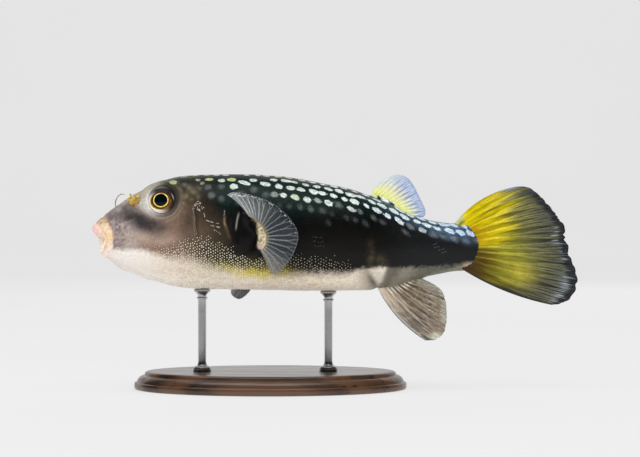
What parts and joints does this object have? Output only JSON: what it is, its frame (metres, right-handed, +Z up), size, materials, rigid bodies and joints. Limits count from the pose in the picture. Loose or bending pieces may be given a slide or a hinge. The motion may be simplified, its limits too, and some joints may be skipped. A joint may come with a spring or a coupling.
{
  "type": "freshwater pufferfish display model",
  "caption": "Life-size still model of an elongate freshwater pufferfish: dark back with pale spots, cream belly and yellow tail fin, held level over an oval base on rods.",
  "frame": {"origin": "under the middle of the whole model's box, on the surface that the stand's base stands on", "axes": "+X towards the tail, head towards -X; left flank towards -Y; +Z up"},
  "size_m": [0.2422, 0.0964, 0.1071],
  "materials": {
    "skin": "wet fish skin: near-black back with pale spots, brown cheek, cream belly with fine white prickles",
    "lip": "soft moist orange-pink lips",
    "tooth": "ivory beak plates",
    "eye": "clear dome over a gold-ringed brown iris",
    "nasal_flap": "moist yellow-orange flaps",
    "fin_pectoral": "translucent grey-white membrane with pale rays",
    "fin_dorsal": "translucent, yellow at the root to lavender at the edge",
    "fin_anal": "translucent brown-grey with pale rays",
    "fin_caudal": "bright yellow at the root to a ragged black edge",
    "stand_wood": "dark stained, satin",
    "stand_steel": "satin"
  },
  "bodies": {
    "root": {"head": "skin", "trunk": "skin", "tail_stem": "skin", "lip_upper": "lip", "lip_lower": "lip", "beak_upper": "tooth", "beak_lower": "tooth", "eye_left": "eye", "eye_right": "eye", "nasal_flap_left": "nasal_flap", "nasal_flap_right": "nasal_flap", "pectoral_base_left": "skin", "pectoral_base_right": "skin", "pectoral_fin_left": "fin_pectoral", "pectoral_fin_right": "fin_pectoral", "dorsal_fin": "fin_dorsal", "anal_fin": "fin_anal", "caudal_fin": "fin_caudal", "stand_base": "stand_wood", "stand_rod_front": "stand_steel", "stand_rod_rear": "stand_steel"}
  },
  "joints": []
}
